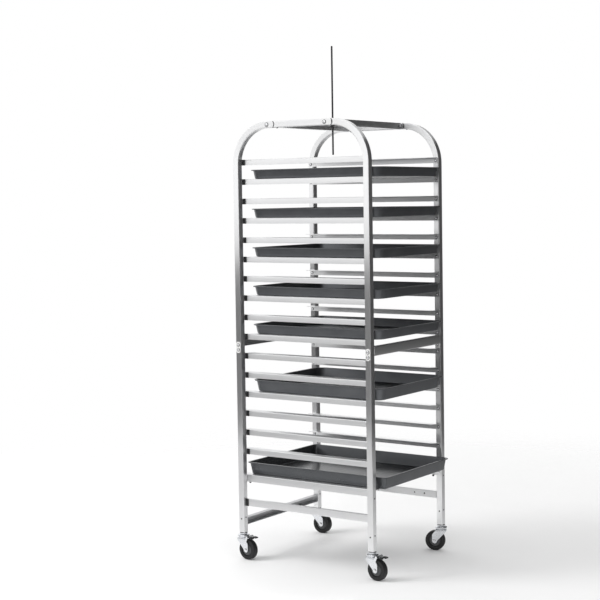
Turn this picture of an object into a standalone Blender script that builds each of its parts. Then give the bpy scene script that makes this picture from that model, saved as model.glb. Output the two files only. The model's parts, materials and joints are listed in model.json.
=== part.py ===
"""Sheet pan rack: a bent-tube end-loading rack on four swivel casters, with seven sheet pans.

Units are metres and +Z is up. The loading opening faces -Y, the slides run along Y, and +X is on the
right of someone who loads the rack. The origin is on the floor, under the middle of the overall box.
"""

import math

import bmesh
import bpy
from mathutils import Matrix, Vector

# Frame
GAP = 0.0003                # clearance kept between pieces that touch
TUBE = 0.0254               # square tube, across its flats
TUBE_WALL = 0.0016
TUBE_CORNER = 0.0020        # chamfer on the tube's outer corners
POST_X = 0.260              # post axes from the middle, across the opening
POST_Y = 0.3025             # post axes from the middle, along the slides
CASTER_HEIGHT = 0.107       # floor to the posts' lower ends
TOP_Z = 1.714               # axis of the top bars
BEND_RADIUS = 0.150         # of the post's axis
BEND_STEPS = 8
SEAM_Y = {-1: -0.150, 1: 0.119}     # where the front and rear posts meet the top bar
SPLICE_Z = 0.845            # where an upper post stands on a lower post
COLLAR_HEIGHT = 0.045
COLLAR_WALL = 0.0016

# Cross members
SHEET = 0.0020              # wall of the channels, angles and stretchers
TOP_CROSS_DEPTH = 0.020
TOP_CROSS_INSET = 0.007     # from a seam to the web of the top cross member
MID_CROSS_DEPTH = 0.019
MID_CROSS_FRONT = (0.0350, 0.8565)      # height, z of its middle
MID_CROSS_REAR = (0.0260, 0.8615)
BOTTOM_CROSS = (0.0280, 0.1500)
BOTTOM_CROSS_DEPTH = 0.025
STRETCHER_HEIGHT = 0.028
STRETCHER_DEPTH = 0.0127
STRETCHER_Z = 0.227
STRETCHER_HOLE_RADIUS = 0.0035
STRETCHER_HOLES_Y = (-0.233, -0.187, 0.187, 0.233)

# Slides
SLIDE_COUNT = 16
SLIDE_PITCH = 0.0762
SLIDE_TOP_Z = 1.583         # ledge of the first slide
SLIDE_LEG = 0.022
SLIDE_LEDGE = 0.032
SLIDES_ABOVE_SPLICE = 10
STRIP_WIDTH = 0.020         # upright strips that carry the slides
RUNNER_TOP_Z = 0.336        # the lowest pair of slides, for the large pan
RUNNER_LEG = 0.028
RUNNER_LEDGE = 0.036

# Sheet pans
PAN_WALL = 0.0012
PAN_RIM_X = 0.241           # half the width across the rim
PAN_REAR_Y = 0.275
PAN_FRONT_Y = -0.343
PAN_FLANGE = 0.008
PAN_BEAD = 0.0035
PAN_CORNER = 0.050          # corner radius of the rim in plan
PAN_CORNER_STEPS = 3
PAN_TAPER = math.tan(math.radians(10))
PAN_FOOT = 0.003            # chamfer between the walls and the bottom
PAN_LEVELS = {2: 0.036, 4: 0.036, 6: 0.036, 8: 0.036, 10: 0.037, 13: 0.046}    # slide: depth
LARGE_PAN_DEPTH = 0.048
LARGE_PAN_CORNER = 0.022
LARGE_PAN_REAR_Y = 0.300
LARGE_PAN_FRONT_Y = -0.357

# Sign rod
ROD_RADIUS = 0.0033
ROD_LOW_Z = 1.590
ROD_HIGH_Z = 1.997
CLAMP = (0.014, 0.014, 0.010)       # a block under the front top cross member

# Casters, in their own frame: the swivel axis is Z, and the wheel trails along +X
WHEEL_RADIUS = 0.040
TREAD_HALF = 0.0090         # half of the flat part of the tread
TYRE_HALF = 0.0130
TYRE_INNER = 0.0283
TRAIL = 0.024
FORK_INSIDE = 0.0145
FORK_OUTSIDE = 0.0173
FORK_END_RADIUS = 0.0100    # of each leg, about the axle
CROWN_TOP = 0.0875
CROWN_BOTTOM = 0.0840
CROWN_RADIUS = 0.0225
RACE_RADIUS = 0.0235
RACE_GAP = 0.0035           # height of the ball race between crown and stem
KINGPIN_RADIUS = 0.0050
PLUG_LENGTH = 0.033         # of the stem, inside the post
BOLT_RADIUS = 0.0040
BOLT_HEAD = 0.0210          # half the length over the bolt's heads
PEDAL_PIVOT = (0.030, 0.0905)
PEDAL_TIP = 0.0685
PEDAL_HALF = 0.0110
PEDAL_PIN_RADIUS = 0.0020
CASTER_HEADINGS = {"left_front": -95, "left_rear": -94, "right_front": 106, "right_rear": -85}
BRAKED = ("left_front", "left_rear")

CORNERS = {"left_front": (-1, -1), "left_rear": (-1, 1), "right_front": (1, -1), "right_rear": (1, 1)}
SIDES = {"left": -1, "right": 1}

HALF = TUBE / 2
INSIDE_X = POST_X - HALF - GAP      # inner faces of the posts, where the slides are fixed

# The overall box runs from the tip of the left front brake pedal to the edge of the rear caster races.
PEDAL_TURN = math.radians(-90 - CASTER_HEADINGS["left_front"])
PEDAL_REACH = PEDAL_TIP * math.cos(PEDAL_TURN) + PEDAL_HALF * math.sin(PEDAL_TURN)
ORIGIN_Y = (PEDAL_REACH - RACE_RADIUS) / 2


def clear_scene():
    for obj in list(bpy.data.objects):
        bpy.data.objects.remove(obj, do_unlink=True)


def make_material(name, color, roughness, metallic):
    material = bpy.data.materials.new(name)
    material.use_nodes = True
    shader = material.node_tree.nodes["Principled BSDF"]
    shader.inputs["Base Color"].default_value = (*color, 1)
    shader.inputs["Roughness"].default_value = roughness
    shader.inputs["Metallic"].default_value = metallic
    return material


def make_mesh(name, bm):
    bmesh.ops.recalc_face_normals(bm, faces=bm.faces)
    mesh = bpy.data.meshes.new(name)
    bm.to_mesh(mesh)
    bm.free()
    return mesh


def place(name, mesh, material, parent, location=(0, 0, 0)):
    obj = bpy.data.objects.new(name, mesh)
    bpy.context.scene.collection.objects.link(obj)
    if not mesh.materials:
        mesh.materials.append(material)
    obj.parent = parent
    obj.location = location
    return obj


def make_empty(name, parent, location=(0, 0, 0), turn=0):
    empty = bpy.data.objects.new(name, None)
    bpy.context.scene.collection.objects.link(empty)
    empty.parent = parent
    empty.location = location
    empty.rotation_euler.z = math.radians(turn)
    return empty


def shade(obj):
    obj.data.shade_smooth()
    obj.data.set_sharp_from_angle(angle=math.radians(35))


# Shapes

def extrude_outline(outline, start, end, frame):
    """A prism: a flat outline, carried from start to end along frame's third axis."""
    bm = bmesh.new()
    ends = [[bm.verts.new(frame @ Vector((a, b, c))) for a, b in outline] for c in (start, end)]
    for ring in ends:
        bm.faces.new(ring)
    for i in range(len(outline)):
        j = (i + 1) % len(outline)
        bm.faces.new((ends[0][i], ends[0][j], ends[1][j], ends[1][i]))
    return bm


ALONG_X = Matrix(((0, 0, 1), (1, 0, 0), (0, 1, 0)))     # outline in Y and Z
ALONG_Y = Matrix(((1, 0, 0), (0, 0, 1), (0, 1, 0)))     # outline in X and Z
ALONG_Z = Matrix.Identity(3)                            # outline in X and Y


def turned(profile, steps, frame, closed=False):
    """A turned solid: profile points are (radius, height), and the axis is frame's third axis."""
    bm = bmesh.new()
    rings = []
    for radius, height in profile:
        count = steps if radius > 0 else 1
        angles = [2 * math.pi * i / steps for i in range(count)]
        points = [(radius * math.cos(a), radius * math.sin(a), height) for a in angles]
        rings.append([bm.verts.new(frame @ Vector(p)) for p in points])
    pairs = list(zip(rings, rings[1:]))
    if closed:
        pairs.append((rings[-1], rings[0]))
    for low, high in pairs:
        for i in range(steps):
            j = (i + 1) % steps
            corners = [low[i % len(low)], low[j % len(low)], high[j % len(high)], high[i % len(high)]]
            bm.faces.new(list(dict.fromkeys(corners)))
    return bm


def cylinder(radius, low, high, steps, frame, centre=(0, 0, 0)):
    bm = turned(((0, low), (radius, low), (radius, high), (0, high)), steps, frame)
    bmesh.ops.translate(bm, verts=bm.verts, vec=centre)
    return bm


def box(low, high):
    outline = [(low[0], low[1]), (high[0], low[1]), (high[0], high[1]), (low[0], high[1])]
    return extrude_outline(outline, low[2], high[2], ALONG_Z)


def tube_section(half, corner):
    """Eight corners of a square with its corners cut."""
    flat = half - corner
    return [(half, flat), (flat, half), (-flat, half), (-half, flat),
            (-half, -flat), (-flat, -half), (flat, -half), (half, -flat)]


def square_tube(path):
    """A hollow square tube in a plane across X. Its path is a list of (point, up across the axis)."""
    outer = tube_section(HALF, TUBE_CORNER)
    inner = tube_section(HALF - TUBE_WALL, TUBE_CORNER - TUBE_WALL / 2)
    side = Vector((1, 0, 0))
    bm = bmesh.new()
    stations = []
    for point, up in path:
        station = []
        for loop in (outer, inner):
            station.append([bm.verts.new(point + side * a + up * b) for a, b in loop])
        stations.append(station)
    count = len(outer)
    for (outer_a, inner_a), (outer_b, inner_b) in zip(stations, stations[1:]):
        for i in range(count):
            j = (i + 1) % count
            bm.faces.new((outer_a[i], outer_a[j], outer_b[j], outer_b[i]))
            bm.faces.new((inner_a[j], inner_a[i], inner_b[i], inner_b[j]))
    for outer_ring, inner_ring in (stations[0], stations[-1]):
        for i in range(count):
            j = (i + 1) % count
            bm.faces.new((outer_ring[j], outer_ring[i], inner_ring[i], inner_ring[j]))
    return bm


def block_solid(xs, ys, zs, is_filled):
    """One closed body from a grid of blocks: faces stand only between a filled block and an empty one."""
    bm = bmesh.new()
    sizes = (len(xs) - 1, len(ys) - 1, len(zs) - 1)
    verts = {}

    def corner(index):
        if index not in verts:
            verts[index] = bm.verts.new((xs[index[0]], ys[index[1]], zs[index[2]]))
        return verts[index]

    def filled(block):
        return all(0 <= b < s for b, s in zip(block, sizes)) and is_filled(*block)

    blocks = [(i, j, k) for i in range(sizes[0]) for j in range(sizes[1]) for k in range(sizes[2])]
    for block in filter(filled, blocks):
        for axis in range(3):
            u, v = (axis + 1) % 3, (axis + 2) % 3
            for step in (0, 1):
                neighbour = list(block)
                neighbour[axis] += 2 * step - 1
                if filled(tuple(neighbour)):
                    continue
                base = list(block)
                base[axis] += step
                quad = []
                for du, dv in ((0, 0), (1, 0), (1, 1), (0, 1)):
                    index = list(base)
                    index[u] += du
                    index[v] += dv
                    quad.append(corner(tuple(index)))
                bm.faces.new(quad)
    return bm


def rounded_rectangle(half_x, half_y, radius):
    points = []
    for cx, cy, first in ((1, 1, 0), (-1, 1, 90), (-1, -1, 180), (1, -1, 270)):
        for i in range(PAN_CORNER_STEPS + 1):
            angle = math.radians(first + 90 * i / PAN_CORNER_STEPS)
            x = cx * (half_x - radius) + radius * math.cos(angle)
            y = cy * (half_y - radius) + radius * math.sin(angle)
            points.append((x, y))
    return points


def pan_solid(half_x, half_y, depth, corner):
    """A pressed pan with tapered walls, a flat flange and a turned-down bead. Its underside is at z = 0."""
    top = depth - PAN_WALL
    lean = PAN_TAPER * depth
    wall_x = half_x - PAN_FLANGE
    wall_y = half_y - PAN_FLANGE
    # (inset from the wall's top edge, height); the inset is negative on the flange
    section = [(lean + PAN_FOOT, 0), (lean, PAN_FOOT), (0, top), (PAN_BEAD / 2 - PAN_FLANGE, top),
               (PAN_BEAD / 2 - PAN_FLANGE, depth - PAN_BEAD), (-PAN_FLANGE, depth - PAN_BEAD),
               (-PAN_FLANGE, depth), (PAN_WALL, depth), (lean + PAN_WALL, PAN_FOOT + PAN_WALL),
               (lean + PAN_WALL + PAN_FOOT, PAN_WALL)]
    bm = bmesh.new()
    rings = []
    for inset, height in section:
        radius = corner - PAN_FLANGE - inset
        loop = rounded_rectangle(wall_x - inset, wall_y - inset, radius)
        rings.append([bm.verts.new((x, y, height)) for x, y in loop])
    count = len(rings[0])
    for low, high in zip(rings, rings[1:]):
        for i in range(count):
            j = (i + 1) % count
            bm.faces.new((low[i], low[j], high[j], high[i]))
    bm.faces.new(rings[0])
    bm.faces.new(rings[-1])
    return bm


def make_guide(name, mesh, parent, location=(0, 0, 0)):
    """A shape that only joins or cuts other pieces, and isn't part of the model."""
    obj = bpy.data.objects.new(name, mesh)
    bpy.context.scene.collection.objects.link(obj)
    obj.parent = parent
    obj.location = location
    obj.hide_render = True
    obj.display_type = "WIRE"
    return obj


def add_boolean(obj, operation, guide):
    modifier = obj.modifiers.new(operation.title(), "BOOLEAN")
    modifier.operation = operation
    modifier.object = guide
    modifier.solver = "EXACT"


# Frame

def post_path(rear, low_z, high_z):
    """A straight stretch of post, from low_z to high_z."""
    up = Vector((0, rear, 0))
    return [(Vector((0, rear * POST_Y, z)), up) for z in (low_z, high_z)]


def bent_post_path(rear):
    """Up from the splice, round the bend and along to the seam with the top bar."""
    path = post_path(rear, SPLICE_Z + GAP / 2, TOP_Z - BEND_RADIUS)
    centre = Vector((0, rear * (POST_Y - BEND_RADIUS), TOP_Z - BEND_RADIUS))
    for i in range(1, BEND_STEPS + 1):
        angle = math.pi / 2 * i / BEND_STEPS
        out = Vector((0, rear * math.cos(angle), math.sin(angle)))
        path.append((centre + out * BEND_RADIUS, out))
    path.append((Vector((0, SEAM_Y[rear] + rear * GAP / 2, TOP_Z)), Vector((0, 0, 1))))
    return path


def build_posts(rack, aluminium):
    for name, (right, rear) in CORNERS.items():
        upper = make_mesh("upper_post", square_tube(bent_post_path(rear)))
        shade(place("upper_post_" + name, upper, aluminium, rack, (right * POST_X, 0, 0)))
        lower = make_mesh("lower_post", square_tube(post_path(rear, CASTER_HEIGHT, SPLICE_Z - GAP / 2)))
        place("lower_post_" + name, lower, aluminium, rack, (right * POST_X, 0, 0))


def build_collars(rack, aluminium):
    inside = HALF + GAP
    outside = inside + COLLAR_WALL
    lines = (-outside, -inside, inside, outside)
    heights = (SPLICE_Z - COLLAR_HEIGHT / 2, SPLICE_Z + COLLAR_HEIGHT / 2)
    mesh = make_mesh("splice_collar", block_solid(lines, lines, heights, lambda i, j, k: (i, j) != (1, 1)))
    for name, (right, rear) in CORNERS.items():
        place("splice_collar_" + name, mesh, aluminium, rack, (right * POST_X, rear * POST_Y, 0))


def build_top_bars(rack, aluminium):
    up = Vector((0, 0, 1))
    path = [(Vector((0, SEAM_Y[rear] - rear * GAP / 2, TOP_Z)), up) for rear in (-1, 1)]
    mesh = make_mesh("top_bar", square_tube(path))
    for name, right in SIDES.items():
        place("top_bar_" + name, mesh, aluminium, rack, (right * POST_X, 0, 0))


def channel(height, depth, open_to):
    """A C-shaped outline with its web at 0 and its flanges reaching to open_to * depth."""
    top, edge, web = height / 2, open_to * depth, open_to * SHEET
    inside = top - SHEET
    return [(0, -top), (edge, -top), (edge, -inside), (web, -inside),
            (web, inside), (edge, inside), (edge, top), (0, top)]


def build_cross_members(rack, aluminium):
    between_collars = INSIDE_X - COLLAR_WALL - GAP
    front, rear = -POST_Y - HALF, POST_Y + HALF
    top_size = (TUBE, TOP_Z)
    # name: (height, z of its middle), depth, the side it is open to, y of its web, reach from the middle
    members = {
        "top_cross_front": (top_size, TOP_CROSS_DEPTH, 1, SEAM_Y[-1] + TOP_CROSS_INSET, INSIDE_X),
        "top_cross_rear": (top_size, TOP_CROSS_DEPTH, -1, SEAM_Y[1] - TOP_CROSS_INSET, INSIDE_X),
        "mid_cross_front": (MID_CROSS_FRONT, MID_CROSS_DEPTH, 1, front, between_collars),
        "mid_cross_rear": (MID_CROSS_REAR, MID_CROSS_DEPTH, -1, rear, between_collars),
        "bottom_cross_rear": (BOTTOM_CROSS, BOTTOM_CROSS_DEPTH, -1, rear, INSIDE_X),
    }
    pieces = {}
    for name, ((height, z), depth, open_to, y, reach) in members.items():
        bm = extrude_outline(channel(height, depth, open_to), -reach, reach, ALONG_X)
        pieces[name] = place(name, make_mesh(name, bm), aluminium, rack, (0, y, z))
    return pieces


def build_stretchers(rack, aluminium):
    """Rectangular tubes between the posts, flush with their inner faces, with holes in the inner wall."""
    length = POST_Y - HALF - GAP
    half = STRETCHER_HEIGHT / 2
    heights = (-half, -half + SHEET, half - SHEET, half)
    hole = cylinder(STRETCHER_HOLE_RADIUS, -2 * SHEET, 2 * SHEET, 12, ALONG_X)
    drill = make_mesh("stretcher_hole", hole)
    for name, right in SIDES.items():
        depth = right * STRETCHER_DEPTH
        wall = right * SHEET
        lines = sorted((0, wall, depth - wall, depth))
        bm = block_solid(lines, (-length, length), heights, lambda i, j, k: (i, k) != (1, 1))
        location = (right * (POST_X - HALF), 0, STRETCHER_Z)
        bar = place("stretcher_" + name, make_mesh(name, bm), aluminium, rack, location)
        for y in STRETCHER_HOLES_Y:
            add_boolean(bar, "DIFFERENCE", make_guide("stretcher_hole", drill, bar, (0, y, 0)))


# Slides

def slide_bank(right, first, last):
    """The slides first to last of one side, as angles joined by an upright strip at each end."""
    wall = right * INSIDE_X
    xs = sorted((wall, wall - right * SHEET, wall - right * SLIDE_LEDGE))
    end = POST_Y + STRIP_WIDTH / 2
    ys = (-end, -end + STRIP_WIDTH, end - STRIP_WIDTH, end)
    zs = []
    for k in range(last, first - 1, -1):
        top = SLIDE_TOP_Z - (k - 1) * SLIDE_PITCH
        zs += [top - SLIDE_LEG, top - SHEET, top]
    wall_block = 1 if right > 0 else 0

    def is_filled(i, j, k):
        in_ledge = k % 3 == 1
        in_slide = k % 3 != 2
        return in_ledge or (i == wall_block and (in_slide or j != 1))

    return block_solid(xs, ys, zs, is_filled)


def build_slides(rack, aluminium):
    banks = {"upper": (1, SLIDES_ABOVE_SPLICE), "lower": (SLIDES_ABOVE_SPLICE + 1, SLIDE_COUNT)}
    for side, right in SIDES.items():
        for level, (first, last) in banks.items():
            name = "slide_bank_{}_{}".format(side, level)
            place(name, make_mesh(name, slide_bank(right, first, last)), aluminium, rack)


def build_runners(rack, aluminium):
    end = POST_Y + STRIP_WIDTH / 2
    for side, right in SIDES.items():
        leg, ledge = -right * SHEET, -right * RUNNER_LEDGE
        outline = [(0, -RUNNER_LEG), (leg, -RUNNER_LEG), (leg, -SHEET), (ledge, -SHEET), (ledge, 0), (0, 0)]
        mesh = make_mesh("runner", extrude_outline(outline, -end, end, ALONG_Y))
        place("runner_" + side, mesh, aluminium, rack, (right * INSIDE_X, 0, RUNNER_TOP_Z))


# Sheet pans

def build_pans(rack, dark_steel):
    # slide ledge, front, rear, depth, corner radius
    pans = []
    for level, depth in PAN_LEVELS.items():
        ledge = SLIDE_TOP_Z - (level - 1) * SLIDE_PITCH
        pans.append((ledge, PAN_FRONT_Y, PAN_REAR_Y, depth, PAN_CORNER))
    pans.append((RUNNER_TOP_Z, LARGE_PAN_FRONT_Y, LARGE_PAN_REAR_Y, LARGE_PAN_DEPTH, LARGE_PAN_CORNER))
    for i, (ledge, front, rear, depth, corner) in enumerate(pans):
        name = "sheet_pan_{}".format(i + 1)
        mesh = make_mesh(name, pan_solid(PAN_RIM_X, (rear - front) / 2, depth, corner))
        shade(place(name, mesh, dark_steel, rack, (0, (front + rear) / 2, ledge + GAP)))


# Sign rod

def build_sign_rod(rack, black_steel, top_cross):
    """The rod stands in two holes through the flanges of the front top cross member, over its clamp."""
    width, depth, height = (size / 2 for size in CLAMP)
    x = -INSIDE_X + GAP + width
    behind_web = SHEET + 2 * GAP + ROD_RADIUS
    y = top_cross.location.y + behind_web
    z = TOP_Z - HALF - GAP - height
    rod = make_mesh("sign_rod", cylinder(ROD_RADIUS, ROD_LOW_Z, ROD_HIGH_Z, 12, ALONG_Z))
    shade(place("sign_rod", rod, black_steel, rack, (x, y, 0)))
    block = make_mesh("rod_clamp", box((-width, -depth, -height), (width, depth, height)))
    clamp = place("rod_clamp", block, black_steel, rack, (x, y, z))
    drill = make_mesh("rod_hole", cylinder(ROD_RADIUS + GAP, -TUBE, TUBE, 12, ALONG_Z))
    add_boolean(clamp, "DIFFERENCE", make_guide("rod_hole", drill, clamp))
    through_flanges = make_guide("rod_hole", drill, top_cross, (x, behind_web, 0))
    add_boolean(top_cross, "DIFFERENCE", through_flanges)


# Casters

def stem_mesh():
    """Race, collar and plug of the fixed half, with the kingpin that holds the fork."""
    plug = HALF - TUBE_WALL - GAP
    plug_end = CASTER_HEIGHT + PLUG_LENGTH
    under_post = CASTER_HEIGHT - GAP
    under_crown = CROWN_BOTTOM - GAP
    nut, nut_end = 0.0085, 0.0790
    race = CROWN_TOP + RACE_GAP
    race_edge, race_top = race + 0.0055, race + 0.0075
    collar = 0.0125
    profile = [(0, nut_end), (nut, nut_end), (nut, under_crown), (KINGPIN_RADIUS, under_crown),
               (KINGPIN_RADIUS, race), (RACE_RADIUS, race), (RACE_RADIUS, race_edge),
               (RACE_RADIUS - 0.002, race_top), (collar, race_top), (collar, under_post),
               (plug, under_post), (plug, plug_end), (0, plug_end)]
    return make_mesh("caster_stem", turned(profile, 16, ALONG_Z))


def fork_outline(braked):
    """Side view of a fork in X and Z. It ends round the axle, and a braked one has an ear for the pedal."""
    pivot_x, pivot_z = PEDAL_PIVOT
    heel = -0.019
    ear = 0.0045
    outline = [(heel, CROWN_TOP), (CROWN_RADIUS + 0.001, CROWN_TOP)]
    if braked:
        outline += [(pivot_x - ear, pivot_z + 0.0030), (pivot_x - 0.0020, pivot_z + ear),
                    (pivot_x + 0.0020, pivot_z + ear), (pivot_x + ear, pivot_z + 0.0020),
                    (pivot_x + ear, 0.0800)]
    for i in range(7):
        angle = math.radians(10 - 33 * i)
        x = TRAIL + FORK_END_RADIUS * math.cos(angle)
        z = WHEEL_RADIUS + FORK_END_RADIUS * math.sin(angle)
        outline.append((x, z))
    outline.append((heel, 0.0740))
    return outline


def fork_guides():
    """The shapes that the forks are joined and cut with, in the caster's own frame."""
    pivot_x, pivot_z = PEDAL_PIVOT
    far = 0.1
    crown = cylinder(CROWN_RADIUS, CROWN_BOTTOM + 0.0001, CROWN_TOP - 0.0001, 20, ALONG_Z)
    race = cylinder(0.0170, CROWN_TOP - 0.002, CROWN_TOP + RACE_GAP - GAP, 16, ALONG_Z)
    under_crown = box((-far, -FORK_INSIDE, -far), (far, FORK_INSIDE, CROWN_BOTTOM))
    between_ears = box((CROWN_RADIUS + 0.001, -FORK_INSIDE, WHEEL_RADIUS), (far, FORK_INSIDE, far))
    pin_hole = cylinder(KINGPIN_RADIUS + GAP, 0.07, 0.1, 12, ALONG_Z)
    axle_hole = cylinder(BOLT_RADIUS + GAP, -far, far, 12, ALONG_Y, (TRAIL, 0, WHEEL_RADIUS))
    pivot_hole = cylinder(PEDAL_PIN_RADIUS + GAP, -far, far, 8, ALONG_Y, (pivot_x, 0, pivot_z))
    shapes = [("UNION", "crown", crown), ("UNION", "race", race), ("DIFFERENCE", "under_crown", under_crown),
              ("DIFFERENCE", "between_ears", between_ears), ("DIFFERENCE", "pin_hole", pin_hole),
              ("DIFFERENCE", "axle_hole", axle_hole), ("DIFFERENCE", "pivot_hole", pivot_hole)]
    return [(operation, "fork_" + name, make_mesh("fork_" + name, bm)) for operation, name, bm in shapes]


def pedal_barrel():
    """The pedal's hinge barrel with a stub at each end, along Y through the pivot."""
    barrel, stub = FORK_INSIDE - GAP, FORK_OUTSIDE - GAP
    pin, outer = PEDAL_PIN_RADIUS, 0.0042
    profile = ((0, -stub), (pin, -stub), (pin, -barrel), (outer, -barrel),
               (outer, barrel), (pin, barrel), (pin, stub), (0, stub))
    return make_mesh("pedal_barrel", turned(profile, 12, ALONG_Y))


def pedal_outline():
    """Side view of the blade and its shoe, in X and Z from the pivot."""
    tip = PEDAL_TIP - PEDAL_PIVOT[0]
    over, under = 0.0040, 0.0010
    shoe = -0.0095
    return [(-0.001, 0.0035), (0.012, over), (tip, over), (tip, under), (0.0170, under),
            (0.0160, shoe), (0.0110, shoe), (0.0080, -0.0050), (0.0070, under), (-0.001, 0.0000)]


def bolt_mesh():
    shank = FORK_OUTSIDE + GAP
    head = 0.0065
    profile = ((0, -BOLT_HEAD), (head, -BOLT_HEAD), (head, -shank), (BOLT_RADIUS, -shank),
               (BOLT_RADIUS, shank), (head, shank), (head, BOLT_HEAD), (0, BOLT_HEAD))
    return make_mesh("caster_bolt", turned(profile, 12, ALONG_Y))


def hub_mesh():
    boss, rim, web = FORK_INSIDE - 0.0007, 0.0115, 0.0060
    bore = BOLT_RADIUS + GAP
    outer = TYRE_INNER - GAP
    rim_inner = 0.0245
    # (radius, half of the width there), from the bore out to the rim
    half = [(bore, boss), (0.0090, boss), (0.0110, web), (0.0225, web), (rim_inner, rim), (outer, rim)]
    profile = [(radius, -width) for radius, width in half] + half[::-1]
    return make_mesh("caster_hub", turned(profile, 16, ALONG_Y, closed=True))


def tyre_mesh():
    shoulder = 0.0345
    profile = ((TYRE_INNER, -TYRE_HALF), (shoulder, -TYRE_HALF), (WHEEL_RADIUS, -TREAD_HALF),
               (WHEEL_RADIUS, TREAD_HALF), (shoulder, TYRE_HALF), (TYRE_INNER, TYRE_HALF))
    return make_mesh("caster_tyre", turned(profile, 32, ALONG_Y, closed=True))


def build_casters(rack, zinc, rubber, hub_grey, dark_steel):
    stem, bolt, hub, tyre = stem_mesh(), bolt_mesh(), hub_mesh(), tyre_mesh()
    forks = {}
    for braked in (True, False):
        bm = extrude_outline(fork_outline(braked), -FORK_OUTSIDE, FORK_OUTSIDE, ALONG_Y)
        forks[braked] = make_mesh("braked_fork" if braked else "plain_fork", bm)
    blade = make_mesh("brake_pedal", extrude_outline(pedal_outline(), -PEDAL_HALF, PEDAL_HALF, ALONG_Y))
    guides, barrel = fork_guides(), pedal_barrel()
    axle = (TRAIL, 0, WHEEL_RADIUS)
    pivot = (PEDAL_PIVOT[0], 0, PEDAL_PIVOT[1])
    for name, (right, rear) in CORNERS.items():
        braked = name in BRAKED
        foot = (right * POST_X, rear * POST_Y, 0)
        shade(place("caster_stem_" + name, stem, zinc, rack, foot))
        swivel = make_empty("swivel_" + name, rack, foot, CASTER_HEADINGS[name])
        fork = place("caster_fork_" + name, forks[braked], zinc, swivel)
        for operation, guide_name, mesh in guides:
            if braked or guide_name != "fork_pivot_hole":
                add_boolean(fork, operation, make_guide(guide_name, mesh, swivel))
        shade(place("caster_bolt_" + name, bolt, zinc, swivel, axle))
        shade(place("caster_hub_" + name, hub, hub_grey, swivel, axle))
        shade(place("caster_tyre_" + name, tyre, rubber, swivel, axle))
        if braked:
            pedal = place("brake_pedal_" + name, blade, dark_steel, swivel, pivot)
            add_boolean(pedal, "UNION", make_guide("pedal_barrel", barrel, pedal))


def main():
    clear_scene()
    aluminium = make_material("brushed_aluminium", (0.74, 0.75, 0.76), 0.32, 1.0)
    dark_steel = make_material("dark_coated_steel", (0.060, 0.062, 0.066), 0.42, 0.3)
    black_steel = make_material("black_steel", (0.030, 0.030, 0.032), 0.45, 0.3)
    zinc = make_material("zinc_plate", (0.78, 0.80, 0.82), 0.30, 1.0)
    rubber = make_material("black_rubber", (0.022, 0.022, 0.023), 0.65, 0.0)
    hub_grey = make_material("hub_grey", (0.10, 0.10, 0.105), 0.50, 0.0)
    rack = make_empty("rack", None, (0, ORIGIN_Y, 0))
    build_posts(rack, aluminium)
    build_collars(rack, aluminium)
    build_top_bars(rack, aluminium)
    cross_members = build_cross_members(rack, aluminium)
    build_stretchers(rack, aluminium)
    build_slides(rack, aluminium)
    build_runners(rack, aluminium)
    build_pans(rack, dark_steel)
    build_sign_rod(rack, black_steel, cross_members["top_cross_front"])
    build_casters(rack, zinc, rubber, hub_grey, dark_steel)


main()
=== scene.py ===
"""Looks of the sheet pan rack: rounded and brushed metal, smooth pans, detailed casters and fasteners.

Everything is in metres, in the CAD frame: +Z up, loading opening towards -Y, origin on the floor.
"""
import json
import math

import bmesh
import bpy
from mathutils import Matrix, Quaternion, Vector


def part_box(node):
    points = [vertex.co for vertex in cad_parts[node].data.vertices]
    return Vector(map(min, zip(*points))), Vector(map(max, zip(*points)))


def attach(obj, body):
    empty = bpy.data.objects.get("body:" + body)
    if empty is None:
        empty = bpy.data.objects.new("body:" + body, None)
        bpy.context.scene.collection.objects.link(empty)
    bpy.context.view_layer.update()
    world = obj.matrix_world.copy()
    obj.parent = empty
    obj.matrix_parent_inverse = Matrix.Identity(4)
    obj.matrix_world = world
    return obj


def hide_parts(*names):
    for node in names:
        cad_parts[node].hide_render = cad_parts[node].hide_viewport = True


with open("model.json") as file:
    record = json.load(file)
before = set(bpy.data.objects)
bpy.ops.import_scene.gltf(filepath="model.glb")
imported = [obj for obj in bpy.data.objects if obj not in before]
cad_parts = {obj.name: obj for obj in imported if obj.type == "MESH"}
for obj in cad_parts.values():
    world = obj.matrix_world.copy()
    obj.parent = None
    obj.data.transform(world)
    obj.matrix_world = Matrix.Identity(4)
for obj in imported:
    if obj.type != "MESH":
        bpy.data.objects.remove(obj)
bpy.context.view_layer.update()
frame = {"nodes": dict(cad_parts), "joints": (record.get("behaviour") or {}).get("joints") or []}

CORNERS = {"left_front": (-1, -1), "left_rear": (-1, 1), "right_front": (1, -1), "right_rear": (1, 1)}
SIDES = {"left": -1, "right": 1}

# Bars
EDGE = 0.0026               # outer corner radius of the square tube
BEND_RADIUS = 0.150         # of an upper post's axis
BEND_STEPS = 28
SEAM_GAP = 0.0042           # open joint between a top bar and a bent post
SEAM_BULGE = 0.0060         # how far the joint's curved edge stands towards the front
SHEET = 0.0020              # wall of the channels, angles and stretchers
FOLD = 0.0036               # outer radius where a sheet is folded
SPLICE_LOBE = 0.0105        # radius of a splice plate's round ends
SPLICE_PLATE = 0.0014       # thickness of a splice plate
SPLICE_SCREW_Z = 0.0095     # its screws lie this far above and below its middle
ROD_HOLE = 0.0036
STRETCHER_HOLE = 0.0035
STRETCHER_HOLES_Y = (-0.233, -0.187, 0.187, 0.233)  # from the middle of the posts

# Slides
PITCH = 0.0762
LEG = 0.022
RUNNER_LEG = 0.028
STRIP_WIDTH = 0.020         # of the upright strips that the slides are riveted to
SLIDE_END_SHADE = 0.0145       # length of the black strip at the rear end of a left slide, painted shade where it meets the rear post
# length of the same black strip of painted shade on the left stretcher
STRETCHER_END_SHADE = 0.0150

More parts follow.
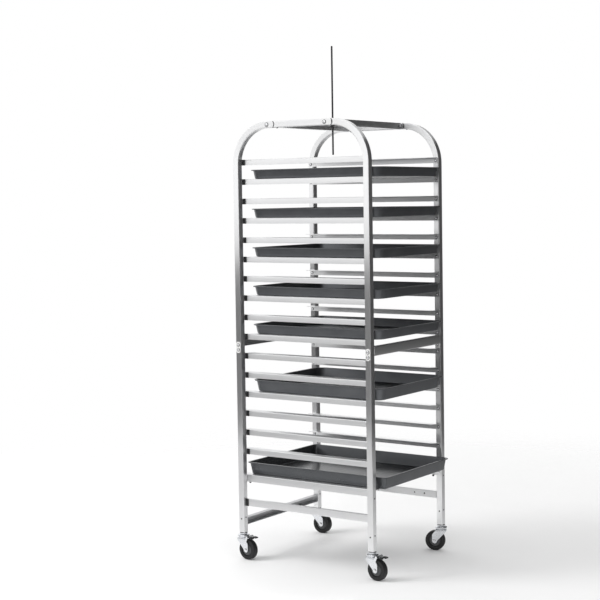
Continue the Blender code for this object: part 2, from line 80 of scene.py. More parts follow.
# Fasteners: a screw is its head's radius and height, and the radius of the dark ring under it, if any
RIVET_RADIUS = 0.0050
RING = 0.0005               # thickness of a ring or washer
SPLICE_SCREW = (0.0058, 0.0026, 0.0074)
CROSS_SCREW = (0.0066, 0.0022, 0.0082)
SEAM_SCREW = (0.0070, 0.0024, 0.0088)
UNDER_SCREW = (0.0046, 0.0024)
LOW_SCREW = (0.0030, 0.0012)
OUTER_SCREW = (0.0028, 0.0012)
LOW_SCREW_Z = (0.161, 0.166)    # on the posts' X faces and on their Y faces
OUTER_SCREW_Z = 0.306       # on the posts' outer Y faces

# Pans
PAN_WALL = 0.0012
PAN_FLANGE = 0.008
PAN_BEAD = 0.0019           # radius of the rolled rim
PAN_CORNER = 0.050
LARGE_PAN_CORNER = 0.022
PAN_TAPER = math.tan(math.radians(10))
PAN_FLOOR_RADIUS = 0.0055

# Casters, in their own frame: the swivel axis is Z, and the wheel trails along +X
WHEEL_RADIUS = 0.040
TRAIL = 0.024
FORK_PLATE = 0.0028
FORK_MIDDLE = 0.0159        # from the middle plane to the middle of a fork plate
CROWN_RADIUS = 0.0225
CROWN_Z = 0.0860            # middle of the crown's plate
FORK_FOLD = 0.0040
FORK_END = 0.0100           # radius of the fork's end about the axle
FORK_FRONT = (-0.0190, 0.076)   # X and Z at which the front edge of a leg stops slanting
FORK_REAR = (0.0135, 0.062)     # how far the rear edge steps in, and from what height
PEDAL_PIVOT = (0.030, 0.0905)
PEDAL_TIP = 0.0685

# View
AZIMUTH = -55.39
ELEVATION = 3.06
ROLL = -0.84
DISTANCE = 5.859
LOOK_AT = (0.1069, 0.1924, 1.1154)  # from the floor under the middle of the four posts
LENS = 85.49
SHIFT = (-0.0252, -0.0426)

# Studio
FLOOR_FADE = (1.1, 3.2)     # distances between which the floor fades out
FLOOR_CARD_END = 2.78
FLOOR_CARD_Z = 0.004
KEY_LIGHT = (-2.4, 2.8, 3.4)
KEY_LIGHT_AIM = (0, 0, 0.6)


def middle_of_posts():
    boxes = [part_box("lower_post_" + name) for name in CORNERS]
    return sum((low + high for low, high in boxes), Vector()) / (2 * len(boxes))


RACK = middle_of_posts()


# Materials

class Nodes:
    """Short calls for one material's node tree."""

    def __init__(self, name):
        self.material = bpy.data.materials.new(name)
        self.material.use_nodes = True
        self.tree = self.material.node_tree
        self.shader = self.tree.nodes["Principled BSDF"]

    def add(self, kind, **settings):
        node = self.tree.nodes.new(kind)
        for key, value in settings.items():
            setattr(node, key, value)
        return node

    def link(self, source, target):
        self.tree.links.new(source, target)

    def set(self, **values):
        for key, value in values.items():
            self.shader.inputs[key.title()].default_value = value

    def coordinates(self, *scale):
        """Object coordinates, in the CAD frame's metres, times one scale or three."""
        source = self.add("ShaderNodeTexCoord")
        mapping = self.add("ShaderNodeMapping")
        mapping.inputs["Scale"].default_value = scale if len(scale) == 3 else scale * 3
        self.link(source.outputs["Object"], mapping.inputs["Vector"])
        return mapping.outputs["Vector"]

    def along_bar(self, across, along):
        """Coordinates that follow a bar: U runs across it and V along it, both in metres."""
        uv = self.add("ShaderNodeUVMap", uv_map="UVMap")
        scaled = self.add("ShaderNodeVectorMath", operation="MULTIPLY")
        scaled.inputs[1].default_value = (across, along, 0)
        place = self.coordinates(3, 0, 3)
        shifted = self.add("ShaderNodeVectorMath", operation="ADD")
        self.link(uv.outputs["UV"], scaled.inputs[0])
        self.link(scaled.outputs["Vector"], shifted.inputs[0])
        self.link(place, shifted.inputs[1])
        return shifted.outputs["Vector"]

    def distance_from_middle(self):
        """Distance from the upright axis through the origin."""
        node = self.add("ShaderNodeVectorMath", operation="LENGTH")
        self.link(self.coordinates(1, 1, 0), node.inputs[0])
        return node.outputs["Value"]

    def noise(self, vector, detail=4.0):
        node = self.add("ShaderNodeTexNoise")
        node.inputs["Scale"].default_value = 1.0
        node.inputs["Detail"].default_value = detail
        node.inputs["Roughness"].default_value = 0.55
        self.link(vector, node.inputs["Vector"])
        return node.outputs["Fac"]

    def ramp(self, value, low, high, start=0.3, end=0.7):
        """Turns value into a number or colour that runs from low to high between start and end."""
        node = self.add("ShaderNodeMapRange" if isinstance(low, float) else "ShaderNodeValToRGB")
        if isinstance(low, float):
            for key, number in (("From Min", start), ("From Max", end), ("To Min", low), ("To Max", high)):
                node.inputs[key].default_value = number
            self.link(value, node.inputs["Value"])
            return node.outputs["Result"]
        for element, position, color in zip(node.color_ramp.elements, (start, end), (low, high)):
            element.position = position
            element.color = (*color, 1)
        self.link(value, node.inputs["Fac"])
        return node.outputs["Color"]

    def mixed(self, factor, first, second, blend="MIX"):
        """Two colours or values, blended."""
        node = self.add("ShaderNodeMix", data_type="RGBA", blend_type=blend)
        inputs = [socket for socket in node.inputs if socket.type == "RGBA"]
        node.inputs[0].default_value = factor
        self.link(first, inputs[0])
        self.link(second, inputs[1])
        return next(socket for socket in node.outputs if socket.type == "RGBA")

    def color(self, source):
        self.link(source, self.shader.inputs["Base Color"])

    def roughness(self, source):
        self.link(source, self.shader.inputs["Roughness"])

    def bump(self, height, strength, distance):
        node = self.add("ShaderNodeBump")
        node.inputs["Strength"].default_value = strength
        node.inputs["Distance"].default_value = distance
        self.link(height, node.inputs["Height"])
        self.link(node.outputs["Normal"], self.shader.inputs["Normal"])


def brushed_metal(name, dark, light, rough_low, rough_high, anisotropic):
    """Bare metal with a fine grain along each bar. Its highlights spread across the grain."""
    nodes = Nodes(name)
    grain = nodes.noise(nodes.along_bar(2600, 9), detail=3.0)
    smudges = nodes.noise(nodes.coordinates(3, 3, 2), detail=3.0)
    tone = nodes.ramp(grain, dark, light)
    clean = nodes.ramp(smudges, (0.965, 0.965, 0.97), (1.0, 1.0, 1.0), 0.35, 0.6)
    nodes.color(nodes.mixed(1.0, tone, clean, "MULTIPLY"))
    nodes.roughness(nodes.ramp(nodes.mixed(0.5, grain, smudges), rough_low, rough_high, 0.35, 0.65))
    nodes.bump(grain, 0.04, 0.00003)
    tangent = nodes.add("ShaderNodeTangent", direction_type="UV_MAP", uv_map="UVMap")
    nodes.link(tangent.outputs["Tangent"], nodes.shader.inputs["Tangent"])
    nodes.set(metallic=1.0, anisotropic=anisotropic)
    return nodes.material


def plated_metal(name, dark, light, rough_low, rough_high):
    """Plated or plain steel with a faint mottle and fine pitting."""
    nodes = Nodes(name)
    mottle = nodes.noise(nodes.coordinates(140), detail=5.0)
    pitting = nodes.noise(nodes.coordinates(900), detail=2.0)
    nodes.color(nodes.ramp(mottle, dark, light))
    nodes.roughness(nodes.ramp(mottle, rough_low, rough_high))
    nodes.bump(pitting, 0.04, 0.00005)
    nodes.set(metallic=1.0)
    return nodes.material


def coated_steel(name, dark, light, rough_low, rough_high, metallic, wear=1.12):
    """Dark coat with fine orange peel, cloudiness and long faint scratches."""
    nodes = Nodes(name)
    cloud = nodes.noise(nodes.coordinates(10, 10, 20), detail=5.0)
    peel = nodes.noise(nodes.coordinates(700), detail=2.0)
    scratch = nodes.noise(nodes.coordinates(6, 420, 420), detail=2.0)
    tone = nodes.ramp(cloud, dark, light)
    worn = nodes.ramp(scratch, (1.0, 1.0, 1.0), (wear, wear, wear), 0.66, 0.72)
    nodes.color(nodes.mixed(1.0, tone, worn, "MULTIPLY"))
    nodes.roughness(nodes.ramp(cloud, rough_low, rough_high))
    nodes.bump(peel, 0.05, 0.0001)
    nodes.set(metallic=metallic)
    return nodes.material


def moulded(name, dark, light, rough_low, rough_high, grain):
    """Rubber, plastic or cast alloy: near even colour, a fine grain and dusty patches."""
    nodes = Nodes(name)
    dust = nodes.noise(nodes.coordinates(60), detail=6.0)
    fine = nodes.noise(nodes.coordinates(grain), detail=2.0)
    nodes.color(nodes.ramp(dust, dark, light, 0.4, 0.75))
    nodes.roughness(nodes.ramp(dust, rough_low, rough_high))
    nodes.bump(fine, 0.25, 0.0002)
    return nodes.material


MATERIALS = {
    "bar": brushed_metal("brushed_bar", (0.86, 0.865, 0.87), (0.93, 0.93, 0.935), 0.29, 0.31, 0.95),
    # Duller mill finish; its darker tone is painted shade, for the bottom rear channel that lies in shadow.
    "mill_darkened_as_shade": brushed_metal("mill_finish_darkened_as_shade", (0.60, 0.605, 0.615), (0.68, 0.685, 0.695), 0.44, 0.50, 0.30),
    "cast": moulded("cast_alloy", (0.66, 0.66, 0.65), (0.76, 0.76, 0.75), 0.36, 0.46, 700),
    "screw": plated_metal("bright_screw", (0.80, 0.81, 0.83), (0.88, 0.88, 0.89), 0.14, 0.20),
    "zinc": plated_metal("zinc_plate", (0.78, 0.80, 0.83), (0.86, 0.87, 0.89), 0.22, 0.28),
    "pan": coated_steel("pan_coat", (0.110, 0.115, 0.123), (0.138, 0.143, 0.151), 0.32, 0.38, 0.80),
    "large_pan": coated_steel("large_pan_coat", (0.084, 0.088, 0.094), (0.106, 0.110, 0.116),
                              0.16, 0.22, 0.70),
    "lever": plated_metal("lever_steel", (0.20, 0.205, 0.21), (0.30, 0.305, 0.31), 0.28, 0.40),
    "rod": coated_steel("rod_black", (0.020, 0.020, 0.022), (0.026, 0.026, 0.028),
                        0.38, 0.42, 0.30, wear=1.05),
    "rubber": moulded("tyre_rubber", (0.008, 0.008, 0.009), (0.015, 0.015, 0.015), 0.50, 0.62, 1400),
    "hub": moulded("hub_plastic", (0.062, 0.063, 0.066), (0.082, 0.083, 0.086), 0.42, 0.50, 900),
    "black": moulded("black_plastic", (0.010, 0.010, 0.011), (0.018, 0.018, 0.019), 0.35, 0.50, 900),
}


# Shapes

X, Y, Z = (1, 0, 0), (0, 1, 0), (0, 0, 1)
ALONG_X = Matrix(((0, 0, 1), (1, 0, 0), (0, 1, 0)))
ALONG_Y = Matrix(((1, 0, 0), (0, 0, 1), (0, 1, 0)))
ALONG_Z = Matrix.Identity(3)


def new_mesh():
    bm = bmesh.new()
    bm.loops.layers.uv.new("UVMap")
    return bm


def new_object(name, data):
    obj = bpy.data.objects.new(name, data)
    bpy.context.scene.collection.objects.link(obj)
    return obj


def object_from(name, bm):
    """Turns bm into an object's mesh and frees it."""
    mesh = bpy.data.meshes.new(name)
    bm.to_mesh(mesh)
    bm.free()
    return new_object(name, mesh)


def make_piece(name, bm, finish, stands_for=(), body="rack", sharp=40, place=None):
    """Turns bm into a named piece that rides on body. place, if given, is a matrix that moves it first."""
    if place:
        bm.transform(place)
    bmesh.ops.recalc_face_normals(bm, faces=bm.faces)
    piece = object_from(name, bm)
    piece.data.materials.append(MATERIALS[finish])
    piece.data.shade_smooth()
    piece.data.set_sharp_from_angle(angle=math.radians(sharp))
    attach(piece, body)
    if stands_for:
        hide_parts(*stands_for)
    return piece


def add_thickness(piece, thickness):
    wall = piece.modifiers.new("Plate", "SOLIDIFY")
    wall.thickness = thickness
    wall.offset = 0


def add_bevel(piece, width):
    bevel = piece.modifiers.new("Bevel", "BEVEL")
    bevel.width = width
    bevel.segments = 2
    bevel.limit_method = "ANGLE"
    bevel.angle_limit = math.radians(40)


def sweep(bm, outline, stations, closed=False):
    """Carries a closed outline through stations, each (point, side, up). U runs round it and V along it."""
    uv = bm.loops.layers.uv.active
    around = [0.0]
    for (a, b), (c, d) in zip(outline, outline[1:] + outline[:1]):
        around.append(around[-1] + math.hypot(c - a, d - b))
    rings, along = [], [0.0]
    for i, (point, side, up) in enumerate(stations):
        rings.append([bm.verts.new(point + side * a + up * b) for a, b in outline])
        if i:
            along.append(along[-1] + (point - stations[i - 1][0]).length)
    count = len(outline)
    for n, (low, high) in enumerate(zip(rings, rings[1:])):
        for i in range(count):
            j = (i + 1) % count
            face = bm.faces.new((low[i], low[j], high[j], high[i]))
            spots = ((i, n), (i + 1, n), (i + 1, n + 1), (i, n + 1))
            for loop, (s, t) in zip(face.loops, spots):
                loop[uv].uv = (around[s], along[t])
    if not closed:
        for ring in (rings[0], rings[-1]):
            face = bm.faces.new(ring)
            for loop, (a, b) in zip(face.loops, outline):
                loop[uv].uv = (a, b)
    return rings


def straight(start, end, side, up):
    """Stations of a straight bar."""
    return [(Vector(start), Vector(side), Vector(up)), (Vector(end), Vector(side), Vector(up))]


def skin(bm, rows, closed=False):
    """Joins rows of points, all of the same length, with quads. Closed rows go all the way round."""
    grid = [[bm.verts.new(point) for point in row] for row in rows]
    for low, high in zip(grid, grid[1:]):
        low_end, high_end = (low[:1], high[:1]) if closed else ([], [])
        for corners in zip(low, low[1:] + low_end, high[1:] + high_end, high):
            bm.faces.new(corners)
    return grid


def rounded_square(half, radius, flat_steps=1):
    """Outline of a square with rounded corners. flat_steps cuts each of its flats up."""
    corner_steps = 4
    points = []
    flat = half - radius
    for quarter in range(4):
        turn = quarter * math.pi / 2
        for i in range(corner_steps + 1):
            angle = turn + math.pi / 2 * i / corner_steps
            cx = flat * (1 if quarter in (0, 3) else -1)
            cy = flat * (1 if quarter in (0, 1) else -1)
            points.append((cx + radius * math.cos(angle), cy + radius * math.sin(angle)))
        x, y = points[-1]
        for i in range(1, flat_steps):
            step = 2 * flat * i / flat_steps
            points.append((x - math.cos(turn) * step, y - math.sin(turn) * step))
    return points


def folded_sheet(corners, thickness=SHEET, radius=FOLD, steps=4):
    """Outline of a folded sheet. corners run along its outer face, and all folds turn 90 degrees one way."""
    corners = [Vector(corner) for corner in corners]
    inward_first = (corners[2] - corners[1]).normalized()
    inward_last = (corners[-3] - corners[-2]).normalized()
    outer, inner = [corners[0]], [corners[0] + inward_first * thickness]
    for previous, corner, following in zip(corners, corners[1:], corners[2:]):
        before = (previous - corner).normalized()
        after = (following - corner).normalized()
        centre = corner + (before + after) * radius
        for i in range(steps + 1):
            angle = math.pi / 2 * i / steps
            away = -(after * math.cos(angle) + before * math.sin(angle))
            outer.append(centre + away * radius)
            inner.append(centre + away * (radius - thickness))
    outer.append(corners[-1])
    inner.append(corners[-1] + inward_last * thickness)
    return [tuple(point) for point in outer + inner[::-1]]


def lathe(bm, profile, steps, axes, centre=(0, 0, 0), closed=False):
    """A turned shape: profile points are (radius, height) along the third of the axes.
    A point given as (radius, height, True) lies on a hexagon."""
    uv = bm.loops.layers.uv.active
    rings = []
    for radius, height, *hexagon in profile:
        ring = []
        for i in range(steps if radius > 0 else 1):
            angle = 2 * math.pi * i / steps
            reach = radius
            if hexagon:
                half_side = math.pi / 6
                reach *= math.cos(half_side) / math.cos((angle % (2 * half_side)) - half_side)
            point = Vector((reach * math.cos(angle), reach * math.sin(angle), height))
            ring.append(bm.verts.new(axes @ point + Vector(centre)))
        rings.append(ring)
    pairs = list(zip(rings, rings[1:]))
    if closed:
        pairs.append((rings[-1], rings[0]))
    for n, (low, high) in enumerate(pairs):
        for i in range(steps):
            j = (i + 1) % steps
            corners = [low[i % len(low)], low[j % len(low)], high[j % len(high)], high[i % len(high)]]
            face = bm.faces.new(list(dict.fromkeys(corners)))
            for loop, (s, t) in zip(face.loops, ((n, i), (n, i + 1), (n + 1, i + 1), (n + 1, i))):
                loop[uv].uv = (s * 0.003, t * 0.003)


def turn_to(normal):
    """The 3 x 3 matrix that turns +Z to normal."""
    return Vector(Z).rotation_difference(Vector(normal)).to_matrix()


def rivet(bm, at, normal):
    radius, height = RIVET_RADIUS, RIVET_RADIUS * 0.42
    arc = [(radius * math.cos(a), height * math.sin(a)) for a in (0, 0.35, 0.75, 1.15)]
    lathe(bm, [(0, -0.0002), (radius, -0.0002), *arc, (0, height)], 16, turn_to(normal), at)


def socket_screw(bm, at, normal, radius, height):
    """A button-head screw with a hexagonal socket."""
    dome = [(radius * math.cos(a), height * (0.15 + 0.85 * math.sin(a))) for a in (0, 0.3, 0.65, 1.0)]
    key = radius * 0.42
    profile = [(0, 0), (radius, 0), *dome, (key, height, True), (key, height * 0.35, True), (0, height * 0.3)]
    lathe(bm, profile, 24, turn_to(normal), at)


def washer(bm, at, normal, radius, thickness=RING):
    lathe(bm, [(0, 0), (radius, 0), (radius - 0.0002, thickness), (0, thickness)], 28, turn_to(normal), at)


def screw_on_ring(screws, rings, at, normal, size):
    radius, height, ring_radius = size
    washer(rings, at, normal, ring_radius)
    socket_screw(screws, Vector(at) + Vector(normal) * RING, normal, radius, height)


def hex_head(bm, at, normal, radius, height):
    profile = [(0, 0), (radius * 1.02, 0, True), (radius * 1.02, height * 0.8, True),
               (radius * 0.80, height), (0, height)]
    lathe(bm, profile, 24, turn_to(normal), at)


# Frame

def tube_of(node):
    """Middle and half width of an upright square tube."""
    low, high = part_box(node)
    return (low + high) / 2, (high.x - low.x) / 2


def bulge_end(ring, middle, half):
    """Curves the end of a bar, seen from the side, towards the front."""
    for vertex in ring:
        height = (vertex.co.z - middle) / half
        vertex.co.y -= SEAM_BULGE * (1 - min(1, height * height))


def build_posts():
    for name, (_, rear) in CORNERS.items():
        low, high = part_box("upper_post_" + name)
        middle, half = tube_of("lower_post_" + name)
        x, y = middle.x, middle.y
        outline = rounded_square(half, EDGE, flat_steps=6)
        top = high.z - half
        seam = low.y if rear > 0 else high.y
        seam += rear * SEAM_GAP / 2
        side = Vector(X)
        stations = [(Vector((x, y, low.z)), side, Vector((0, rear, 0)))]
        centre = Vector((x, y - rear * BEND_RADIUS, top - BEND_RADIUS))
        for i in range(BEND_STEPS + 1):
            angle = math.pi / 2 * i / BEND_STEPS
            out = Vector((0, rear * math.cos(angle), math.sin(angle)))
            stations.append((centre + out * BEND_RADIUS, side, out))
        stations.append((Vector((x, seam, top)), side, Vector(Z)))
        bm = new_mesh()
        rings = sweep(bm, outline, stations)
        bulge_end(rings[-1], top, half)
        make_piece("upper_post_tube_" + name, bm, "bar", ["upper_post_" + name])
        low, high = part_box("lower_post_" + name)
        bm = new_mesh()
        sweep(bm, outline, straight((x, y, low.z), (x, y, high.z), X, Y))
        make_piece("lower_post_tube_" + name, bm, "bar", ["lower_post_" + name])


def build_top_bars():
    """The bars between the bent posts, and the dark sleeves that show in their seams."""
    clearance, reach = 0.0004, 0.012
    for name in SIDES:
        low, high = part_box("top_bar_" + name)
        middle = (low + high) / 2
        half = (high.x - low.x) / 2
        ends = (low.y + SEAM_GAP / 2, high.y - SEAM_GAP / 2)
        start, end = ((middle.x, y, middle.z) for y in ends)
        bm = new_mesh()
        for ring in sweep(bm, rounded_square(half, EDGE, flat_steps=6), straight(start, end, X, Z)):
            bulge_end(ring, middle.z, half)
        make_piece("top_bar_tube_" + name, bm, "bar", ["top_bar_" + name])
        bm = new_mesh()
        inner = rounded_square(half - clearance, EDGE)
        for y in ends:
            start, end = (middle.x, y - reach, middle.z), (middle.x, y + reach, middle.z)
            sweep(bm, inner, straight(start, end, X, Z))
        make_piece("seam_sleeves_" + name, bm, "rubber")


def build_splices():
    """A two-lobed plate on the outer and inner face of each post, held by two screws."""
    overhang = math.radians(20)
    for name in CORNERS:
        low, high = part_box("splice_collar_" + name)
        middle = (low + high) / 2
        half = tube_of("lower_post_" + name)[1]
        spread = (high.z - low.z) / 2 - SPLICE_LOBE
        outline = []
        for turn, z in ((0, spread), (math.pi, -spread)):
            for i in range(13):
                angle = turn - overhang + (math.pi + 2 * overhang) * i / 12
                outline.append((SPLICE_LOBE * math.cos(angle), z + SPLICE_LOBE * math.sin(angle)))
        plates, screws, rings = new_mesh(), new_mesh(), new_mesh()
        for face in (-1, 1):
            start = middle + Vector((face * (half + 0.0002), 0, 0))
            end = start + Vector((face * SPLICE_PLATE, 0, 0))
            sweep(plates, outline, straight(start, end, Y, Z))
            for z in (-SPLICE_SCREW_Z, SPLICE_SCREW_Z):
                screw_on_ring(screws, rings, end + Vector((0, 0, z)), (face, 0, 0), SPLICE_SCREW)
        plate = make_piece("splice_plate_" + name, plates, "cast", ["splice_collar_" + name])
        add_bevel(plate, 0.0004)
        make_piece("splice_screws_" + name, screws, "screw")
        make_piece("splice_rings_" + name, rings, "black")


def build_cross_members():
    for name, opens_to in {"top_cross_front": 1, "top_cross_rear": -1, "mid_cross_front": 1,
                           "mid_cross_rear": -1, "bottom_cross_rear": -1}.items():
        low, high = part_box(name)
        web, edge = (low.y, high.y) if opens_to > 0 else (high.y, low.y)
        outline = folded_sheet([(edge, low.z), (web, low.z), (web, high.z), (edge, high.z)])
        bm = new_mesh()
        sweep(bm, outline, straight((low.x, 0, 0), (high.x, 0, 0), Y, Z))
        # Only the bottom rear channel gets the mill finish: duller metal, darkened further as painted shade.
        finish = "mill_darkened_as_shade" if name == "bottom_cross_rear" else "bar"
        member = make_piece(name + "_channel", bm, finish, [name])
        if name == "top_cross_front":
            rod_low, rod_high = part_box("sign_rod")
            rod = (rod_low + rod_high) / 2
            drill(member, [(rod.x, rod.y, z) for z in (low.z, high.z)], ROD_HOLE, ALONG_Z, 0.02)


def build_cross_screws():
    """A screw near each end of the top cross members, on the face that looks out of the rack."""
    inset = 0.010
    screws, rings = new_mesh(), new_mesh()
    for name, facing in (("top_cross_front", -1), ("top_cross_rear", 1)):
        low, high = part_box(name)
        web = low.y if facing < 0 else high.y
        for x in (low.x + inset, high.x - inset):
            screw_on_ring(screws, rings, (x, web, (low.z + high.z) / 2), (0, facing, 0), CROSS_SCREW)
    make_piece("cross_screws", screws, "screw")
    make_piece("cross_screw_rings", rings, "black")


def drill(piece, centres, radius, direction, reach):
    """Cuts round holes, to the given reach on both sides of each centre."""
    cutter = new_mesh()
    for centre in centres:
        lathe(cutter, [(0, -reach), (radius, -reach), (radius, reach), (0, reach)], 24, direction, centre)
    bmesh.ops.recalc_face_normals(cutter, faces=cutter.faces)
    tool = object_from("cutter", cutter)
    cut = piece.modifiers.new("Holes", "BOOLEAN")
    cut.operation = "DIFFERENCE"
    cut.object = tool
    bpy.context.view_layer.update()
    evaluated = piece.evaluated_get(bpy.context.evaluated_depsgraph_get())
    result = bpy.data.meshes.new_from_object(evaluated)
    piece.modifiers.clear()
    piece.data = result
    bpy.data.objects.remove(tool, do_unlink=True)


def build_stretchers():
    """Rectangular tubes with holes in the wall that faces into the rack, each backed inside the tube by a
    black disc that paints the shade in the hole.
    """
    shade_disc_gap, shade_disc_rim = 0.0012, 0.0012
    for name, right in SIDES.items():
        low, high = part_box("stretcher_" + name)
        inner = low.x if right > 0 else high.x
        middle = (low + high) / 2
        half = (high - low) / 2
        outline, hollow = ([(a * (half.x - wall), b * (half.z - wall)) for a, b in rounded_square(1, corner)]
                           for wall, corner in ((0, 0.15), (SHEET, 0.05)))
        bm = new_mesh()
        start, end = (middle.x, low.y, middle.z), (middle.x, high.y, middle.z)
        stations = straight(start, end, X, Z)
        outside = sweep(bm, outline, stations, closed=True)
        inside = sweep(bm, hollow, stations, closed=True)
        for outer_ring, inner_ring in zip(outside, inside):
            for i in range(len(outer_ring)):
                j = (i + 1) % len(outer_ring)
                bm.faces.new((outer_ring[i], outer_ring[j], inner_ring[j], inner_ring[i]))
        bar = make_piece("stretcher_tube_" + name, bm, "bar", ["stretcher_" + name])
        centres = [Vector((inner, RACK.y + y, middle.z)) for y in STRETCHER_HOLES_Y]
        drill(bar, centres, STRETCHER_HOLE, ALONG_X, 0.006)
        # Black discs just behind the holes, inside the tube: painted shade seen through the holes.
        hole_shade_discs = new_mesh()
        for centre in centres:
            at = centre + Vector((right * (SHEET + shade_disc_gap), 0, 0))
            washer(hole_shade_discs, at, (-right, 0, 0), STRETCHER_HOLE + shade_disc_rim, 0.0008)
        make_piece("stretcher_hole_shade_discs_" + name, hole_shade_discs, "black")


# Slides

def sweep_slide(bm, low, high, right, top, leg):
    """A slide in the box from low to high: a leg hangs at its outer side, and a ledge reaches inwards."""
    wall, reach = (high.x, low.x) if right > 0 else (low.x, high.x)
    outline = folded_sheet([(wall, top - leg), (wall, top), (reach, top)])
    sweep(bm, outline, straight((0, low.y, 0), (0, high.y, 0), X, Z))


def slide_tops(bank):
    """Heights of a bank's ledges, from the top down."""
    low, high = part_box(bank)
    count = round((high.z - low.z - LEG) / PITCH) + 1
    return [high.z - i * PITCH for i in range(count)]


def strip_places(low, high):
    """Y of the two upright strips."""
    return low.y + STRIP_WIDTH / 2, high.y - STRIP_WIDTH / 2


def build_slides():
    for side, right in SIDES.items():
        for level in ("upper", "lower"):
            bank = "{}_{}".format(side, level)
            low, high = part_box("slide_bank_" + bank)
            wall = high.x if right > 0 else low.x
            inwards = Vector((-right, 0, 0))
            tops = slide_tops("slide_bank_" + bank)
            bars, rivets, rings, strips = new_mesh(), new_mesh(), new_mesh(), new_mesh()
            for top in tops:
                sweep_slide(bars, low, high, right, top, LEG)
                for y in strip_places(low, high):
                    at = Vector((wall - right * SHEET, y, top - LEG * 0.58))
                    washer(rings, at, inwards, RIVET_RADIUS + 0.0012, 0.0003)
                    rivet(rivets, at + inwards * 0.0003, inwards)
            # In front the ledges are cut off at 45 degrees, so that a pan finds its way in.
            for vertex in bars.verts:
                if vertex.co.y < low.y + 0.0001:
                    vertex.co.y += abs(vertex.co.x - wall)
            outline = [(a * STRIP_WIDTH / 2, b * SHEET / 2) for a, b in ((-1, -1), (1, -1), (1, 1), (-1, 1))]
            for y in strip_places(low, high):
                for top in tops[:-1]:
                    start = Vector((wall - right * SHEET / 2, y, top - LEG))
                    end = start + Vector((0, 0, LEG - PITCH))
                    sweep(strips, outline, straight(start, end, Y, X))
            make_piece("slides_" + bank, bars, "bar", ["slide_bank_" + bank])
            make_piece("slide_rivets_" + bank, rivets, "screw")
            make_piece("slide_rivet_rings_" + bank, rings, "black")
            make_piece("slide_strips_" + bank, strips, "bar")


def build_slide_end_shade():
    """Thin black strips where the left slides and the left stretcher meet the rear post: painted shade of the
    post.
    """
    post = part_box("lower_post_left_rear")[0].y
    thickness, overlap = 0.0006, 0.0004
    low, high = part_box("stretcher_left")
    spans = []
    for level in ("upper", "lower"):
        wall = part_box("slide_bank_left_" + level)[0].x
        spans += [(wall, top - LEG, top, SLIDE_END_SHADE) for top in slide_tops("slide_bank_left_" + level)]
    spans.append((low.x, low.z, high.z, STRETCHER_END_SHADE))
    bm = new_mesh()
    for wall, bottom, top, length in spans:
        a, b = top + overlap, bottom - overlap
        outline = [(-thickness, b), (0, b), (0, a), (-thickness, a)]
        sweep(bm, outline, straight((wall, post - length, 0), (wall, post - 0.0002, 0), X, Z))
    make_piece("slide_end_painted_shade", bm, "black")


def build_runners():
    """The lowest pair of slides, each with two small feet and two rivets."""
    foot_inset = 0.034
    for side, right in SIDES.items():
        low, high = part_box("runner_" + side)
        wall = high.x if right > 0 else low.x
        bar, rivets, feet = new_mesh(), new_mesh(), new_mesh()
        sweep_slide(bar, low, high, right, high.z, RUNNER_LEG)
        profile = [(0, 0), (0.0042, 0), (0.0042, 0.0045), (0.0034, 0.0055), (0, 0.0055)]
        for y in (low.y + foot_inset, high.y - foot_inset):
            lathe(feet, profile, 20, turn_to((0, 0, -1)), (wall - right * 0.0045, y, low.z))
        for y in strip_places(low, high):
            rivet(rivets, (wall - right * SHEET, y, high.z - RUNNER_LEG * 0.55), (-right, 0, 0))
        make_piece("runner_angle_" + side, bar, "bar", ["runner_" + side])
        make_piece("runner_rivets_" + side, rivets, "screw")
        make_piece("runner_stops_" + side, feet, "black")


def build_frame_screws():
    """Screws at the seams of the roof and on the lower posts."""
    before_seam, behind_seam = 0.012, 0.029
    bright, dark, rings = new_mesh(), new_mesh(), new_mesh()
    for name, (right, rear) in CORNERS.items():
        post, half = tube_of("lower_post_" + name)
        low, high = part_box("top_bar_" + ("left" if right < 0 else "right"))
        seam = high.y if rear > 0 else low.y
        socket_screw(dark, (post.x, seam - before_seam, low.z), (0, 0, -1), *UNDER_SCREW)
        for face in (-1, 1):
            at = (post.x + face * (half + 0.0001), seam + behind_seam, (low.z + high.z) / 2)
            screw_on_ring(bright, rings, at, (face, 0, 0), SEAM_SCREW)
            x_face = (post.x + face * half, post.y, LOW_SCREW_Z[0])
            y_face = (post.x, post.y + face * half, LOW_SCREW_Z[1])
            socket_screw(dark, x_face, (face, 0, 0), *LOW_SCREW)
            socket_screw(dark, y_face, (0, face, 0), *LOW_SCREW)
        outer_face = (post.x, post.y + rear * half, OUTER_SCREW_Z)
        socket_screw(dark, outer_face, (0, rear, 0), *OUTER_SCREW)
    make_piece("seam_screws", bright, "screw")
    make_piece("seam_rings", rings, "black")
    make_piece("post_screws", dark, "rod")


# Pans

def pan_ring(half_x, half_y, radius):
    steps = 10
    points = []
    for cx, cy, first in ((1, 1, 0), (-1, 1, 90), (-1, -1, 180), (1, -1, 270)):
        for i in range(steps + 1):
            angle = math.radians(first + 90 * i / steps)
            points.append((cx * (half_x - radius) + radius * math.cos(angle),
                           cy * (half_y - radius) + radius * math.sin(angle)))
    return points


def pan_section(depth):
    """Section of a pressed pan, underside to floor, as (inset from the wall's top edge, height)."""
    lean = PAN_TAPER * depth
    tilt = math.radians(80)

    def fold(i, radius):
        """A point of the bend between floor and wall."""
        angle = -math.pi / 2 - tilt * i / 6
        return lean + PAN_FLOOR_RADIUS + radius * math.cos(angle), PAN_FLOOR_RADIUS + radius * math.sin(angle)

    section = [fold(i, PAN_FLOOR_RADIUS) for i in range(7)]
    section.append((0, depth - PAN_WALL))
    for i in range(13):
        angle = math.radians(158 + (450 - 158) * i / 12)
        section.append((PAN_BEAD - PAN_FLANGE - PAN_BEAD * math.cos(angle),
                        depth - PAN_BEAD + PAN_BEAD * math.sin(angle)))
    section += [(-0.0006, depth), (PAN_WALL * 0.7, depth - 0.0005), (PAN_WALL, depth - 0.0016)]
    section += [fold(i, PAN_FLOOR_RADIUS - PAN_WALL) for i in range(6, -1, -1)]
    return section


